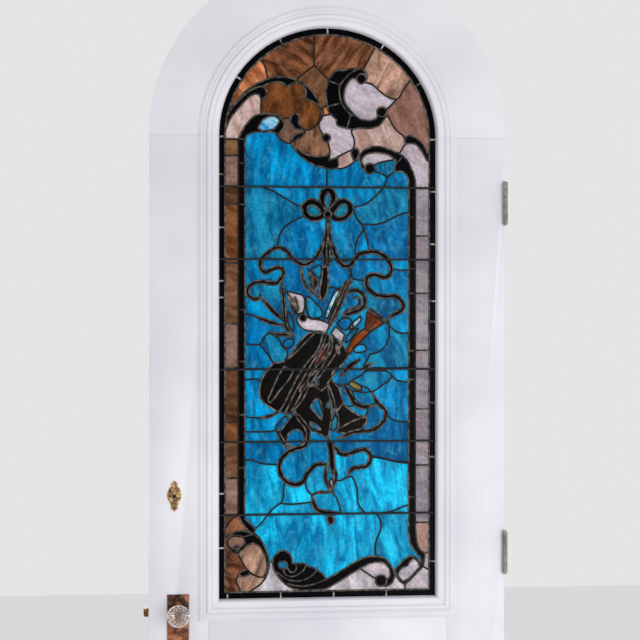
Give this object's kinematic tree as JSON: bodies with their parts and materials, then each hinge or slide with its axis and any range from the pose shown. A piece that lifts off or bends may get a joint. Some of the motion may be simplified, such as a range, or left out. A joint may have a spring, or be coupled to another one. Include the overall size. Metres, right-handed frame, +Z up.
{
  "type": "arched stained glass front door",
  "caption": "White painted front door with a round-headed leaded glass light of blue, brown and lilac opal glass, glass knobs, and butt hinges on its right edge.",
  "frame": {"origin": "middle of the middle hinge's jamb leaf, on the face that lies against the jamb", "axes": "+Z up, +X from the door towards the jamb, -Y towards the room"},
  "size_m": [0.8822, 0.1718, 2.5402],
  "materials": {
    "paint": "white satin paint",
    "panel_paint": "white satin paint",
    "lead": "dark lead came",
    "black_glass": "opaque black",
    "brown_glass": "streaky opal",
    "lilac_glass": "opal",
    "amber_glass": "streaky opal",
    "blue_glass": "streaky opal",
    "iron": "blackened",
    "copper": "aged bronze",
    "brass": "aged brass",
    "clear_glass": "clear, polished",
    "steel": "worn steel"
  },
  "bodies": {
    "jamb_leaves": {"hinge_jamb_leaf_1": "steel", "hinge_pin_1": "steel", "hinge_jamb_leaf_2": "steel", "hinge_pin_2": "steel", "hinge_jamb_leaf_3": "steel", "hinge_pin_3": "steel"},
    "door": {"lock_stile": "paint", "hinge_stile": "paint", "arched_head": "paint", "lock_rail": "paint", "bottom_rail": "paint", "lower_panel": "panel_paint", "glazing_moulding_room_left": "paint", "glazing_moulding_room_right": "paint", "glazing_moulding_room_bottom": "paint", "glazing_moulding_room_arch": "paint", "panel_moulding_room_left": "paint", "panel_moulding_room_right": "paint", "panel_moulding_room_top": "paint", "panel_moulding_room_bottom": "paint", "lock_plate_room": "copper", "keyhole_escutcheon_room": "brass", "glazing_moulding_street_left": "paint", "glazing_moulding_street_right": "paint", "glazing_moulding_street_bottom": "paint", "glazing_moulding_street_arch": "paint", "panel_moulding_street_left": "paint", "panel_moulding_street_right": "paint", "panel_moulding_street_top": "paint", "panel_moulding_street_bottom": "paint", "lock_plate_street": "copper", "keyhole_escutcheon_street": "brass", "lead_cames": "lead", "border_glass_left": "black_glass", "border_glass_right": "black_glass", "border_glass_bottom": "black_glass", "border_glass_arch": "black_glass", "inner_strip_glass_left": "black_glass", "inner_strip_glass_right": "black_glass", "brown_strip_glass": "brown_glass", "lilac_strip_glass": "lilac_glass", "head_glass": "amber_glass", "foot_glass": "lilac_glass", "blue_field_glass": "blue_glass", "saddle_bar_1": "iron", "saddle_bar_2": "iron", "saddle_bar_3": "iron", "saddle_bar_4": "iron", "saddle_bar_5": "iron", "lock_face_plate": "brass", "hinge_door_leaf_1": "steel", "hinge_door_leaf_2": "steel", "hinge_door_leaf_3": "steel"},
    "knobs": {"knob_shank_room": "brass", "knob_glass_room": "clear_glass", "knob_shank_street": "brass", "knob_glass_street": "clear_glass", "knob_spindle": "steel"},
    "latch": {"latch_bolt": "brass"}
  },
  "joints": [
    {"name": "door_swing", "type": "hinge", "parent": "jamb_leaves", "child": "door", "pos_m": [-0.0035, -0.029, 0], "axis": [0, 0, 1], "range_deg": [0, 105]},
    {"name": "knob_turn", "type": "hinge", "parent": "door", "child": "knobs", "pos_m": [-0.798, 0, -0.135], "axis": [0, 1, 0], "range_deg": [0, 60], "stiffness_Nm_per_rad": 0.5, "springref_deg": -11.46},
    {"name": "latch_slide", "type": "slide", "parent": "door", "child": "latch", "axis": [1, 0, 0], "range_m": [0, 0.012]}
  ],
  "couplings": [
    {"joint": "latch_slide", "follows": "knob_turn", "m_per_rad": 0.01145}
  ]
}
